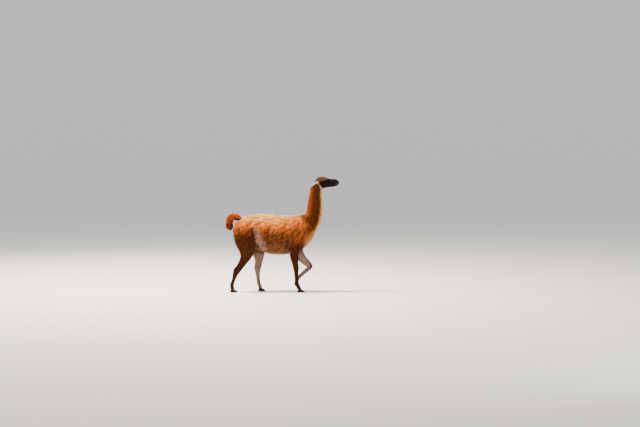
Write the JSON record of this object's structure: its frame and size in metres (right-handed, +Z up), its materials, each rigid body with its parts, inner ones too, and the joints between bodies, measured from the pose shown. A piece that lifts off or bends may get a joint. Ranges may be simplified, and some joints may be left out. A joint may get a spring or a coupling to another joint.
{
  "type": "walking guanaco, life-size still model",
  "caption": "Life-size still model of a guanaco in mid stride, one forefoot lifted, head level and ears laid back, in a shaggy rufous coat.",
  "frame": {"origin": "on the floor, under the middle of the animal's length and width", "axes": "+X the way the animal walks and looks, +Y its left side, +Z up"},
  "size_m": [1.6059, 0.4325, 1.6507],
  "materials": {
    "coat_wool": "shaggy rufous wool",
    "coat_short": "short rufous hair",
    "coat_face": "short charcoal hair",
    "coat_ear": "short grey hair",
    "eye": "wet gloss",
    "nail": "satin horn"
  },
  "bodies": {
    "root": {"torso": "coat_wool", "tail_root": "coat_wool", "tail_tip": "coat_wool", "neck": "coat_short", "head": "coat_face", "ear_left": "coat_ear", "ear_right": "coat_ear", "eye_left": "eye", "eye_right": "eye", "leg_front_left_upper": "coat_short", "leg_front_left_lower": "coat_short", "leg_front_left_foot": "coat_short", "nail_front_left_1": "nail", "nail_front_left_2": "nail", "leg_front_right_upper": "coat_short", "leg_front_right_lower": "coat_short", "leg_front_right_foot": "coat_short", "nail_front_right_1": "nail", "nail_front_right_2": "nail", "leg_hind_left_upper": "coat_short", "leg_hind_left_lower": "coat_short", "leg_hind_left_foot": "coat_short", "nail_hind_left_1": "nail", "nail_hind_left_2": "nail", "leg_hind_right_upper": "coat_short", "leg_hind_right_lower": "coat_short", "leg_hind_right_foot": "coat_short", "nail_hind_right_1": "nail", "nail_hind_right_2": "nail"}
  },
  "joints": []
}
